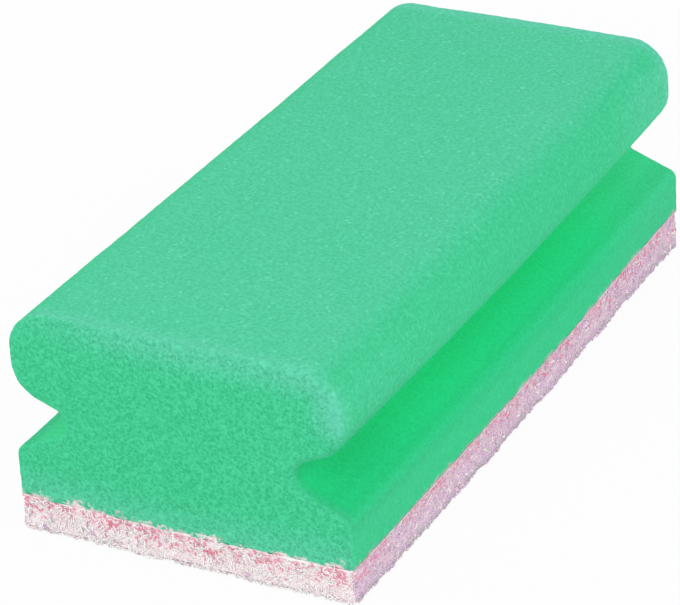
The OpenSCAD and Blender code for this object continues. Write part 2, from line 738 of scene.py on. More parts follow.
@dataclass(frozen=True)
class FoamFinish:
    """Open-cell foam: fine pores, a few painted glints on broken cells, and painted shade in the
    grooves, which deepens their green.
    """

    # Painted shade: the deeper, brighter green that stands for the shade and green bounce light in
    # the grooves
    deep: Colour = linear(40, 218, 142)
    plain: Colour = linear(66, 203, 146)
    # Painted light: the paler green of the crown and of the painted highlights along the cut edges
    pale: Colour = linear(97, 207, 171)
    # Painted highlight: the light green glint of broken cells
    cell_glint: Colour = linear(118, 232, 190)
    skin_grain: float = 0.8
    skin_contrast: float = 0.74
    skin_wall: Step = Step(0.3, 0.7)
    skin_pore: Step = Step(0.2, 0.75)
    slice_grain: float = 0.72
    slice_wall: Step = Step(0.34, 0.62)
    slice_pore: Step = Step(0.15, 0.7)
    cloud_size: float = 14.0
    cloud_contrast: float = 0.1
    # Cell walls paler and lighter than the pores: partly the foam's grain, partly painted shade in
    # the pores
    paler_walls: float = 0.22
    lighter_walls: float = 0.3
    # Painted shade: the sliced ends are darker to offset the stronger light on them
    painted_slice_shade: float = 0.125
    torn_cells: tuple[TornCells, TornCells] = (
        TornCells(3.4, Step(0.17, 0.05)),
        TornCells(2.3, Step(0.2, 0.08)),
    )
    torn_strength: float = 0.6
    torn_by_slice: Spread = Spread(1.0, 0.4)
    torn_relief: float = 0.5
    torn_where_pale: Step = Step(0.3, 0.8)
    blot_size: float = 4.2
    blot_weight: float = 1.3
    fringe_size: float = 0.9
    fringe_weight: float = 1.5
    stain_mean: float = 1.4
    stain_height: Spread = Spread(0.75, 0.6)
    stain_unevenness: Spread = Spread(0.35, 1.0)
    stain_rose: float = 0.9
    stain_edge: Step = Step(0.45, 1.0)
    # The glue's stain, darkened as painted shade along the joint with the pad
    stain_fade: Step = Step(0.0, 0.3)
    stain_and_joint_shade: float = 0.88
    roughness: Spread = Spread(0.9, 1.0)
    pore_depth: float = 0.2
    pore_strength: float = 0.6
    specular: float = 0.12

    def _walls(self, shader: Shader, place: Signal, painted_paleness: Signal, sliced: Signal) -> Signal:
        """The cell walls, above 0, and the pores between them, below 0.

        They are fine and faint on the skin, more so where it is deep, and plain on the slices.

        Args:
            shader: the foam's nodes.
            place: Object coordinates.
            painted_paleness: how pale the foam is there, as painted light and shade.
            sliced: 1 on the sliced ends and 0 on the skin.

        Returns:
            Numbers from -0.5 to 0.5.
        """
        grain = shader.noise(place, self.skin_grain, detail=2.0)
        worms = shader.noise(place, self.slice_grain, detail=1.0, bend=1.2)
        pores = shader.cells(place, self.slice_grain)
        on_skin = (grain.ramp(self.skin_wall) + pores.ramp(self.skin_pore)) * 0.5 - 0.5
        on_skin = on_skin * (painted_paleness * 0.5 + 0.5) * self.skin_contrast
        on_slice = (worms.ramp(self.slice_wall) + pores.ramp(self.slice_pore)) * 0.5 - 0.5
        return on_skin * (1 - sliced) + on_slice * sliced

    def _stained(self, shader: Shader, place: Signal, green: Signal, sliced: Signal) -> Signal:
        """The green with the glue's stain on it, which climbs unevenly from the joint. The stain is
        darkened as painted shade along the joint.

        Args:
            shader: the foam's nodes.
            place: Object coordinates.
            green: the foam's own colour.
            sliced: 1 on the sliced ends and 0 on the skin.

        Returns:
            The colour.
        """
        joint = shader.layer("near_joint")
        uneven = shader.noise(place, self.blot_size) * self.blot_weight - self.stain_mean
        uneven += shader.noise(place, self.fringe_size, detail=1.0) * self.fringe_weight
        uneven *= self.stain_unevenness.pick(sliced)
        reach = joint * self.stain_height.pick(sliced) + uneven
        soaked = reach.ramp(self.stain_edge) * joint.ramp(self.stain_fade)
        stain = Mottle().mixed(shader, place, self.stain_rose, 1 - sliced)
        return shader.mix(soaked, green, shader.scaled(stain, self.stain_and_joint_shade))

    def material(self) -> bpy.types.Material:
        """The foam's material.

        The mesh keeps how pale each place is, as painted light and shade, from 0 in the depth of a
        groove, where painted shade deepens the green, through 0.5 in the open, to 1 at a cut edge,
        where it is a painted highlight. The skin is also lighter or darker in bands, as painted light
        and shade. Cell walls are paler and lighter than the pores between them, partly the foam's
        grain and partly painted shade in the pores. A few broken cells carry painted glints. Glue
        has soaked into the foam by the joint, and its stain is darkened as painted shade.
        """
        shader = Shader("foam")
        place = shader.place()
        # Painted light and shade: how pale the green is, deepest in the grooves and palest at the
        # edges
        sliced, painted_paleness = shader.layer("sliced"), shader.layer("painted_paleness")
        wall = self._walls(shader, place, painted_paleness, sliced)
        clouds = shader.noise(place, self.cloud_size, detail=2.0) - 0.5

        shade = painted_paleness + wall * self.paler_walls + clouds * self.cloud_contrast
        green = shader.mix((shade * 2).clamped(), self.deep, self.plain)
        green = shader.mix((shade * 2 - 1).clamped(), green, self.pale)
        # Painted light and shade: the skin is lightened and darkened in bands, and the slices
        # darkened
        light = shader.layer("tone") + wall * self.lighter_walls - sliced * self.painted_slice_shade
        green = shader.scaled(green, light)
        # Painted glints on broken cells, only where the green is painted pale
        large, small = (shader.cells(place, t.spacing).ramp(t.bright) for t in self.torn_cells)
        cell_glint = (large + small) * painted_paleness.ramp(self.torn_where_pale)
        cell_glint = (cell_glint * self.torn_by_slice.pick(sliced)).clamped()
        green = shader.mix(cell_glint * self.torn_strength, green, self.cell_glint)
        relief = wall + cell_glint * self.torn_relief
        return shader.principled(
            {
                "Base Color": self._stained(shader, place, green, sliced),
                "Roughness": self.roughness.pick(wall),
                "Specular IOR Level": self.specular,
                "Normal": shader.bump(relief, self.pore_depth, self.pore_strength),
            }
        )


@dataclass(frozen=True)
class GlueFinish:
    """A thin film of glue, which takes on the colours of the fibre that it has soaked into, with
    lilac as painted shade on the long sides.
    """

    grain: float = 0.9
    roughness: Spread = Spread(0.6, 0.9)
    relief: float = 0.12
    specular: float = 0.3

    def material(self) -> bpy.types.Material:
        """The glue's material."""
        shader = Shader("glue")
        place = shader.place()
        fine = shader.noise(place, self.grain, detail=1.0)
        return shader.principled(
            {
                "Base Color": Mottle().mixed(shader, place, 1.0, shader.layer("long_side")),
                "Roughness": self.roughness.pick(fine),
                "Specular IOR Level": self.specular,
                "Normal": shader.bump(fine, self.relief),
            }
        )


@dataclass(frozen=True)
class PadFinish:
    """The matted body of the pad, which shows between its outer fibres, with painted shade
    between its strokes.
    """

    # Painted shade: the darker colour between the fibres
    gap_shade: Colour = linear(244, 224, 229)
    gaps: Step = Step(0.5, 0.36)
    gap_strength: float = 0.4
    # Painted contact shade: the darker violet along the long sides' lower edge
    hem: Colour = linear(196, 180, 200)
    hem_shade_strength: float = 0.7
    stroke_size: float = 1.1
    web_size: float = 1.0
    web: Step = Step(0.0, 0.25)
    web_relief: float = 0.5
    roughness: Spread = Spread(0.85, 0.95)
    relief: float = 0.35
    specular: float = 0.25

    def material(self) -> bpy.types.Material:
        """The pad's material."""
        shader = Shader("matted-fibre")
        place = shader.place()
        strokes = shader.noise(place, self.stroke_size, detail=1.0, bend=2.2)
        webs = shader.cells(place, self.web_size, "DISTANCE_TO_EDGE")
        long_side = shader.layer("long_side")
        colour = Mottle().mixed(shader, place, shader.layer("near_joint"), long_side)
        # Painted shade between the fibres
        colour = shader.mix(strokes.ramp(self.gaps) * self.gap_strength, colour, self.gap_shade)
        # Painted contact shade low on the long sides
        hem = shader.layer("near_ground") * long_side * self.hem_shade_strength
        relief = strokes + webs.ramp(self.web) * self.web_relief
        return shader.principled(
            {
                "Base Color": shader.mix(hem, colour, self.hem),
                "Roughness": self.roughness.pick(strokes),
                "Specular IOR Level": self.specular,
                "Normal": shader.bump(relief, self.relief),
            }
        )


@dataclass(frozen=True)
class FibreFinish:
    """One colour of fibre, which varies a little from fibre to fibre and along each one."""

    name: str
    colour: Colour
    darker: Colour
    cloud_size: float = 1.6
    clouded: Step = Step(0.4, 0.7)
    cloud_share: float = 0.4
    roughness: Spread = Spread(0.55, 0.85)
    relief: float = 0.05
    specular: float = 0.35

    def material(self) -> bpy.types.Material:
        """The fibre's material."""
        shader = Shader(self.name)
        shade = shader.layer("shade")
        clouds = shader.noise(shader.place(), self.cloud_size, detail=1.0)
        dark = shade * (1 - self.cloud_share) + clouds.ramp(self.clouded) * self.cloud_share
        return shader.principled(
            {
                "Base Color": shader.mix(dark, self.colour, self.darker),
                "Roughness": self.roughness.pick(clouds),
                "Specular IOR Level": self.specular,
                "Normal": shader.bump(clouds, self.relief),
            }
        )


class Strand(Enum):
    """The colours of fibre that are matted together in the pad."""

    WHITE = FibreFinish("fibre-white", linear(255, 253, 253), linear(251, 243, 245))
    BLUSH = FibreFinish("fibre-blush", linear(255, 240, 242), linear(252, 224, 230))
    ROSE = FibreFinish("fibre-rose", linear(247, 168, 188), linear(241, 136, 164))
    # Painted shade: lilac fibres stand for the shade on the long sides
    SIDE_SHADE_LILAC = FibreFinish("fibre-side-shade-lilac", linear(234, 200, 228), linear(218, 180, 216))
    GREY = FibreFinish("fibre-grey", linear(230, 220, 226), linear(196, 180, 194))


# The pieces


def settle(piece: bpy.types.Object, node: str) -> None:
    """Ties a piece to the frame.

    Args:
        piece: the new piece.
        node: the CAD node that it stands for.
    """
    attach(piece, BODY)
    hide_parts(node)


@dataclass(frozen=True)
class Extent:
    """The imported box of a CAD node, in millimetres."""

    low: Vector
    high: Vector

    @classmethod
    def of(cls, node: str) -> "Extent":
        """The box of that node."""
        low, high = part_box(node)
        return cls(low / METRES, high / METRES)

    @property
    def half_width(self) -> float:
        """Half the box's width along X."""
        return (self.high.x - self.low.x) / 2

    @property
    def length(self) -> float:
        """The box's length along Y."""
        return self.high.y - self.low.y

    @property
    def height(self) -> float:
        """The box's height along Z."""
        return self.high.z - self.low.z


@dataclass(frozen=True)
class Sag:
    """How the whole sponge is out of true, by millimetres at the most.

    The foot bows out on the right at mid-length, and stands out at its front left and back right
    corners. The head bows to the right, more so on that side, and its left side leans in towards
    the back, where the top dips too. The joint rises at the back right corner and sags in the
    middle of the front. Steps named along and out go by places from -1 to 1, the others by height.
    """

    foot: Step = Step(24.0, 14.0)
    foot_bow: float = 0.5
    foot_bow_out: Step = Step(0.0, 1.0)
    foot_skew: float = 0.35
    head: Step = Step(24.0, 31.0)
    head_bow: float = 0.5
    right_bow: float = 0.6
    right_out: Step = Step(-1.0, 1.0)
    left_lean: float = 1.0
    joint: Band = Band(0.0, 7.9, 7.9, 20.0)
    joint_rise: float = 1.2
    rise_along: Step = Step(0.1, 0.8)
    rise_out: Step = Step(0.2, 1.0)
    joint_sag: float = 0.4
    sag_along: Step = Step(-0.8, -1.0)
    crown_dip: float = 0.4
    dip_along: Step = Step(0.4, 1.0)
    dip_out: Step = Step(0.2, -0.9)

    def bend(self, points: Array, half_width: float, half_length: float) -> None:
        """Moves points by these amounts, which fade into each other between foot and head.

        A place counts from -1 to 1 across the sponge, and along it. A bow is 1 less the square of
        the place along, and a corner's share is the product of the two places where that is
        above 0.

        Args:
            points: places in millimetres, changed in place.
            half_width: half the sponge's width.
            half_length: half its length.
        """
        out, along, height = points[:, 0] / half_width, points[:, 1] / half_length, points[:, 2]
        foot, head = self.foot.at(height), self.head.at(height)
        middle, right = 1 - along**2, self.right_out.at(out)
        corner = along * np.maximum(out * along, 0)
        foot_bow = self.foot_bow * middle * self.foot_bow_out.at(out)
        head_bow = (self.head_bow + self.right_bow * right) * middle
        aside = foot * (foot_bow + self.foot_skew * corner)
        aside += head * (head_bow + self.left_lean * along * (1 - right))
        lift = self.joint_rise * self.rise_along.at(along) * self.rise_out.at(out)
        lift -= self.joint_sag * self.sag_along.at(along) * (1 - out**2)
        dip = head * self.crown_dip * self.dip_along.at(along) * self.dip_out.at(out)
        points[:, 2] += self.joint.at(height) * lift
        points[:, 0] += aside
        points[:, 2] -= dip


@dataclass(frozen=True)
class GripShading:
    """How pale and how light the foam's green is from place to place on the grip.

    Steps and bands named run go by the millimetres from the joint along the skin, those named
    along by the place from -1 at the front to 1 at the back, and those named out by that from -1
    on the left to 1 on the right. The numbers say how much paler or lighter the green is there,
    as painted light and shade.
    """

    # Painted shade leaves the grooves deep green, and painted light makes the base, brow and crown
    # paler, the crown as light from above
    base: float = 0.37
    base_run: Step = Step(14.0, 4.5)
    brow: float = 0.5
    brow_run: Step = Step(32.5, 36.5)
    crown: float = 0.25
    crown_run: Step = Step(48.0, 56.0)
    in_the_open: float = 0.52
    left_groove_out: Step = Step(0.0, -0.3)
    left_groove_along: Step = Step(0.2, -0.7)
    lit_back: float = 0.75
    lit_back_along: Step = Step(0.4, 0.9)
    lit_by_the_edge: Step = Step(4.0, 0.0)
    lit_foot: float = 0.7
    lit_foot_run: Step = Step(11.0, 7.0)
    front_along: Step = Step(-0.4, -0.9)
    head_run: Band = Band(34.0, 38.0, 46.0, 50.0)
    head_back: float = 0.22
    head_back_along: Step = Step(0.5, 0.9)
    head_front: float = 0.08
    sliced: float = 0.5
    sliced_foot: float = 0.28
    sliced_foot_height: Step = Step(8.0, 0.0)

    # Painted highlights: paler along the cut edges, by the millimetres from the edge
    edge_height: Step = Step(24.0, 30.0)
    skin_edge: float = 0.22
    skin_edge_back: float = 0.2
    skin_edge_back_along: Step = Step(0.0, 0.9)
    skin_edge_width: Step = Step(5.0, 0.0)
    slice_edge: float = 0.1
    slice_edge_width: Step = Step(6.0, -1.5)
    middle_edge: float = 0.28
    middle_edge_out: Step = Step(-0.8, -0.2)
    right_edge: float = 0.08
    right_edge_out: Step = Step(0.3, 0.9)
    brow_edge: float = 0.36
    brow_edge_out: Step = Step(0.86, 0.97)

    # Painted light and shade: lighter and darker bands on the skin
    right_side: Step = Step(-2.0, 6.0)
    tone_front_along: Step = Step(-0.4, -0.95)
    tone_back_along: Step = Step(0.2, 0.9)
    shoulder_run: Band = Band(5.0, 8.5, 10.0, 13.5)
    darker_shoulder: float = 0.1
    less_at_back: float = 0.09
    groove_run: Band = Band(12.0, 16.0, 35.0, 42.0)
    lighter_groove: float = 0.02
    groove_front: float = 0.12
    groove_back: float = 0.1
    crown_edge_run: Band = Band(44.0, 47.0, 50.0, 53.0)
    darker_crown: float = 0.03
    ledge_run: Band = Band(9.0, 12.0, 13.5, 17.0)
    darker_ledge: float = 0.09

    def painted_paleness(self, block: SlicedBlock, extent: Extent) -> Array:
        """How pale the green is at each point: 0 deep in a groove, 0.5 in the open, 1 at an edge.

        It is painted light and shade. On the skin it falls over the base's shoulder into the painted
        shade of the groove, and rises again over the brow and once more over the crown as painted
        light. On the ends it is even. Painted highlights make it rise towards the cut edges
        everywhere but at the grooves. The left groove gets more painted light at its front, and so
        does the foot.

        Args:
            block: the foam before its unevenness.
            extent: the foam's packed box.

        Returns:
            One number for each point.
        """
        run, height = block.from_joint, block.points[:, 2] - extent.low.z
        out, along = block.points[:, 0] / extent.half_width, block.points[:, 1] * 2 / extent.length
        head = self.brow * self.brow_run.at(run) + self.crown * self.crown_run.at(run)
        skin = self.base * self.base_run.at(run) + head
        front = self.front_along.at(along)
        left_groove = self.left_groove_out.at(out) * self.left_groove_along.at(along)
        lit = np.maximum(left_groove, self.lit_back * self.lit_back_along.at(along))
        lit = np.maximum(lit, self.lit_by_the_edge.at(block.from_edge))
        lit = np.maximum(lit, self.lit_foot * front * self.lit_foot_run.at(run))
        skin += np.maximum(self.in_the_open - skin, 0) * lit
        ends = self.head_back * self.head_back_along.at(along) + self.head_front * front
        skin += ends * self.head_run.at(run)
        sliced = self.sliced + self.sliced_foot * self.sliced_foot_height.at(height)
        pale = skin + (sliced - skin) * block.sliced

        on_skin = self.skin_edge + self.skin_edge_back * self.skin_edge_back_along.at(along)
        on_skin *= self.skin_edge_width.at(block.from_edge)
        on_slice = self.slice_edge + self.middle_edge * self.middle_edge_out.at(out)
        on_slice += self.right_edge * self.right_edge_out.at(out)
        on_slice += self.brow_edge * self.brow_edge_out.at(out)
        on_slice *= self.slice_edge_width.at(block.from_edge)
        edge = on_skin + (on_slice - on_skin) * block.sliced
        return pale + edge * self.edge_height.at(height)

    def tone(self, block: SlicedBlock) -> Array:
        """Painted light and shade: darker on the shoulder, lighter in the groove and at the back.

        Args:
            block: the foam before its unevenness.

        Returns:
            A factor near 1 for each point.
        """
        run, along = block.from_joint, block.points[:, 1] * 2 / block.length
        right, front = self.right_side.at(block.points[:, 0]), self.tone_front_along.at(along)
        back = self.tone_back_along.at(along)
        in_groove = self.lighter_groove + self.groove_front * front * (1 - 2 * right)
        painted_light = self.groove_run.at(run) * (in_groove + self.groove_back * back)
        painted_light -= self.shoulder_run.at(run) * (self.darker_shoulder - self.less_at_back * back)
        painted_light -= self.crown_edge_run.at(run) * self.darker_crown
        painted_light -= self.ledge_run.at(run) * self.darker_ledge * right * front
        return 1 + painted_light * (1 - block.sliced)


@dataclass(frozen=True)
class FoamGrip:
    """The foam: a broad head on a narrower neck, with a finger groove along each long side."""

    groove_height: float = 16.6
    groove_depth: float = 11.25
    groove_root_radius: float = 3.5
    groove_angle: float = 44.0
    head_inset: float = 1.2
    crown_radius: float = 8.3
    brow_radius: float = 7.4
    shoulder_radius: float = 2.1
    grid: Grid = Grid(rows=92, columns=98, stations=262, turns=7)
    swells: tuple[Roll, ...] = (Roll(0.1, 24.0, 31), Roll(0.05, 6.0, 41))
    grain: Roll = Roll(0.04, 1.2, 21)
    pit_depth: float = 0.07
    pit_size: float = 1.4
    pit_seed: int = 11
    pit_wall: Step = Step(0.15, 0.62)
    pits_on_skin: float = 0.6
    joint_edge: Step = Step(1.6, 0.0)
    evener_joint: float = 0.6
    lip: float = 0.14
    ragged: float = 0.45
    ragged_waves: tuple[Roll, ...] = (Roll(0.8, 4.0, 53), Roll(0.6, 1.5, 51))
    ragged_on_skin: float = 0.4
    ragged_drop: float = 0.9
    soak_height: float = 2.0
    edge_radius: float = 0.6
    front_radius: float = 2.2
    worn_out: Step = Step(8.0, 34.0)
    worn_height: Step = Step(9.0, 16.0)

    def _side(self, extent: Extent) -> Array:
        """The right side of the section, where the groove's flat walls would meet at an apex.

        Args:
            extent: the foam's packed box.

        Returns:
            Points as rows of [out, height], from the joint to the top.
        """
        half, middle = extent.half_width, self.groove_height
        half_angle = math.radians(self.groove_angle / 2)
        slope = math.tan(half_angle)
        root = half - self.groove_depth + self.groove_root_radius
        apex = root - self.groove_root_radius / math.sin(half_angle)
        head = half - self.head_inset
        return rounded_line(
            [
                Corner(half, 0.0),
                Corner(half, middle - (half - apex) * slope, self.shoulder_radius),
                Corner(apex, middle, self.groove_root_radius),
                Corner(head, middle + (head - apex) * slope, self.brow_radius),
                Corner(head, extent.height, self.crown_radius),
                Corner(head - self.crown_radius - PAST_ROUND, extent.height),
            ]
        )

    def softness(self, outline: Array, end: float) -> Array:
        """The radius of an end's edge: small, but larger at the front from the groove to the head.

        Args:
            outline: places on the section, [out, height], the left side's with out below 0.
            end: the end's side of Y, 1 or -1.

        Returns:
            One radius for each place.
        """
        out, height = outline.T
        worn = self.worn_out.at(out) * self.worn_height.at(height) * float(end < 0)
        return self.edge_radius + (self.front_radius - self.edge_radius) * worn

    def build(self, extent: Extent, sag: Sag) -> bpy.types.Object:
        """Makes the foam from its grid, its unevenness, its pits and its ragged lower edge.

        Args:
            extent: the foam's packed box.
            sag: how the sponge is out of true.

        Returns:
            The foam's piece.
        """
        block = SlicedBlock(self._side(extent), self.softness, extent.length, self.grid)
        block.stood(extent.low.z)
        above, shading = block.points[:, 2] - extent.low.z, GripShading()
        layers = {
            "sliced": block.sliced,
            # Painted light and shade: how pale the green is at each point
            "painted_paleness": shading.painted_paleness(block, extent),
            # Painted light and shade: how light the skin's colour is in bands
            "tone": shading.tone(block),
            "near_joint": np.clip(1 - above / self.soak_height, 0, 1),
        }
        points, edge = block.points, self.joint_edge.at(above)
        pits = 1 - self.pit_wall.at(pore_distance(points, self.pit_size, self.pit_seed))
        relief = rolled(points, (*self.swells, self.grain))
        relief -= self.pit_depth * pits * (self.pits_on_skin + block.sliced)
        relief = relief * (1 - self.evener_joint * edge) + self.lip * edge * block.sliced
        points = points + block.facing() * relief[:, None]
        wave = rolled(points, self.ragged_waves)
        wave *= self.ragged_on_skin + (1 - self.ragged_on_skin) * block.sliced
        points[:, 2] += edge * self.ragged * (wave - self.ragged_drop)
        sag.bend(points, extent.half_width, extent.length / 2)
        piece = make_piece("foam_grip", points, block.faces, layers, FoamFinish().material())
        settle(piece, "foam_body")
        return piece


# The skin's turn from the ends, 0, to the long sides, 1, by how far it faces along X
# It masks the lilac painted shade of the long sides
LONG_SIDE = Step(0.4, 0.9)


@dataclass(frozen=True)
class GlueLine:
    """The film of glue, which shows as an uneven line round the sponge."""

    corner_radius: float = 1.0
    edge_radius: float = 0.15
    bulge: tuple[Roll, ...] = (Roll(0.1, 4.5, 61), Roll(0.08, 1.1, 71))
    inset: float = 0.05
    outset_on_sides: float = 0.15
    creep: Roll = Roll(0.3, 1.3, 75)
    creep_mean: float = 0.03
    less_on_sides: float = 0.6
    drop_on_sides: float = 0.35
    grid: Grid = Grid(rows=5, columns=120, stations=300, turns=5)

    def softness(self, outline: Array, end: float) -> Array:
        """The radius of the film's upright corners, and none on its upper face."""
        return self.corner_radius * (outline[:, 1] < outline[:, 1].max())

    def build(self, extent: Extent, sag: Sag) -> bpy.types.Object:
        """Makes the film, whose edge swells out, draws back and creeps up the foam by turns.

        Args:
            extent: the film's packed box.
            sag: how the sponge is out of true.

        Returns:
            The film's piece.
        """
        side = slab_side(extent.half_width, extent.height, self.edge_radius)
        block = SlicedBlock(side, self.softness, extent.length, self.grid)
        block.stood(extent.low.z)
        points, outward = block.points, unit(block.facing() * GROUND)
        long_side = LONG_SIDE.at(np.abs(outward[:, 0]))
        risen = (points[:, 2] - extent.low.z) / extent.height
        swell = rolled(points, self.bulge) + self.outset_on_sides * long_side - self.inset
        points = points + outward * swell[:, None]
        creep = self.creep.at(points * GROUND) + self.creep_mean
        creep = creep * (1 - self.less_on_sides * long_side) - self.drop_on_sides * long_side
        points[:, 2] += risen * creep
        sag.bend(points, extent.half_width, extent.length / 2)
        layers = {"long_side": long_side}
        piece = make_piece("glue_line", points, block.faces, layers, GlueFinish().material())
        settle(piece, "glue_film")
        return piece


@dataclass(frozen=True)
class ScouringPad:
    """The matted body of the pad, uneven all over and ragged along its lower edge."""

    corner_radius: float = 1.0
    sharper_below: float = 0.3
    sharper_run: Step = Step(5.0, 7.0)
    edge_radius: float = 0.3
    grid: Grid = Grid(rows=14, columns=104, stations=226, turns=5)
    lift: float = 0.3
    lowest: float = 0.1
    inset: float = 0.1
    rolls: tuple[Roll, ...] = (Roll(0.25, 9.0, 81), Roll(0.12, 1.6, 91))
    held_by_glue: Step = Step(1.0, 0.0)
    evened: float = 0.5
    hem_wave: Roll = Roll(0.1, 5.5, 111)
    hem_rise: float = 0.1
    hem_height: Step = Step(2.5, 0.5)
    hem_upright: Step = Step(0.3, 0.9)
    splay: float = 0.45
    splay_height: Step = Step(4.5, 0.5)
    splay_front: Step = Step(50.0, -20.0)
    hollow: float = 0.15
    underside: Step = Step(0.85, 0.99)
    rosy: Step = Step(5.5, 0.5)
    # Painted contact shade: how near the ground the pad is, for its darker lower edge
    ground_shade: Step = Step(2.6, 1.0)

    def relief(self, points: Array, upright: Union[Array, float] = 1.0) -> Array:
        """How far the pad's skin stands out of true, which is more low down on its front half.

        Args:
            points: places on the skin.
            upright: 1 where the skin is upright, down to 0 on the underside.

        Returns:
            Millimetres outwards for each place.
        """
        splay = self.splay * self.splay_height.at(points[..., 2])
        return rolled(points, self.rolls) + splay * self.splay_front.at(points[..., 1]) * upright

    def hem(self, points: Array) -> Array:
        """How far the pad's wavy lower edge is off the ground at places near it."""
        return self.hem_rise + self.hem_wave.at(points * GROUND)

    def softness(self, outline: Array, end: float) -> Array:
        """The radius of the pad's upright corners, a little less on its underside."""
        return self.corner_radius * (1 - self.sharper_below * self.sharper_run.at(outline[:, 1]))

    def build(self, extent: Extent, sag: Sag) -> bpy.types.Object:
        """Makes the pad's body, hung from the glue and just clear of the ground.

        Args:
            extent: the pad's packed box.
            sag: how the sponge is out of true.

        Returns:
            The pad's piece.
        """
        side = slab_side(extent.half_width, extent.height - self.lift, self.edge_radius)
        block = SlicedBlock(side, self.softness, extent.length, self.grid)
        block.hung(extent.high.z)
        outward, points = block.facing(), block.points
        below_glue = extent.high.z - points[:, 2]
        layers = {
            "near_joint": self.rosy.at(below_glue),
            "near_ground": self.ground_shade.at(points[:, 2]),
            "long_side": LONG_SIDE.at(np.abs(outward[:, 0])),
        }
        upright = np.hypot(outward[:, 0], outward[:, 1])
        under = self.underside.at(-outward[:, 2])
        relief = self.relief(points, upright) * (1 - self.evened * under)
        relief *= 1 - self.evened * self.held_by_glue.at(below_glue)
        relief -= self.inset
        points = points + outward * relief[:, None]
        points[:, 2] += self.hollow * under
        rim = self.hem_upright.at(upright) * self.hem_height.at(points[:, 2])
        points[:, 2] = np.maximum(points[:, 2] + self.hem(points) * rim, self.lowest)
        sag.bend(points, extent.half_width, extent.length / 2)
        piece = make_piece("pad_body", points, block.faces, layers, PadFinish().material())
        settle(piece, "scouring_pad")
        return piece


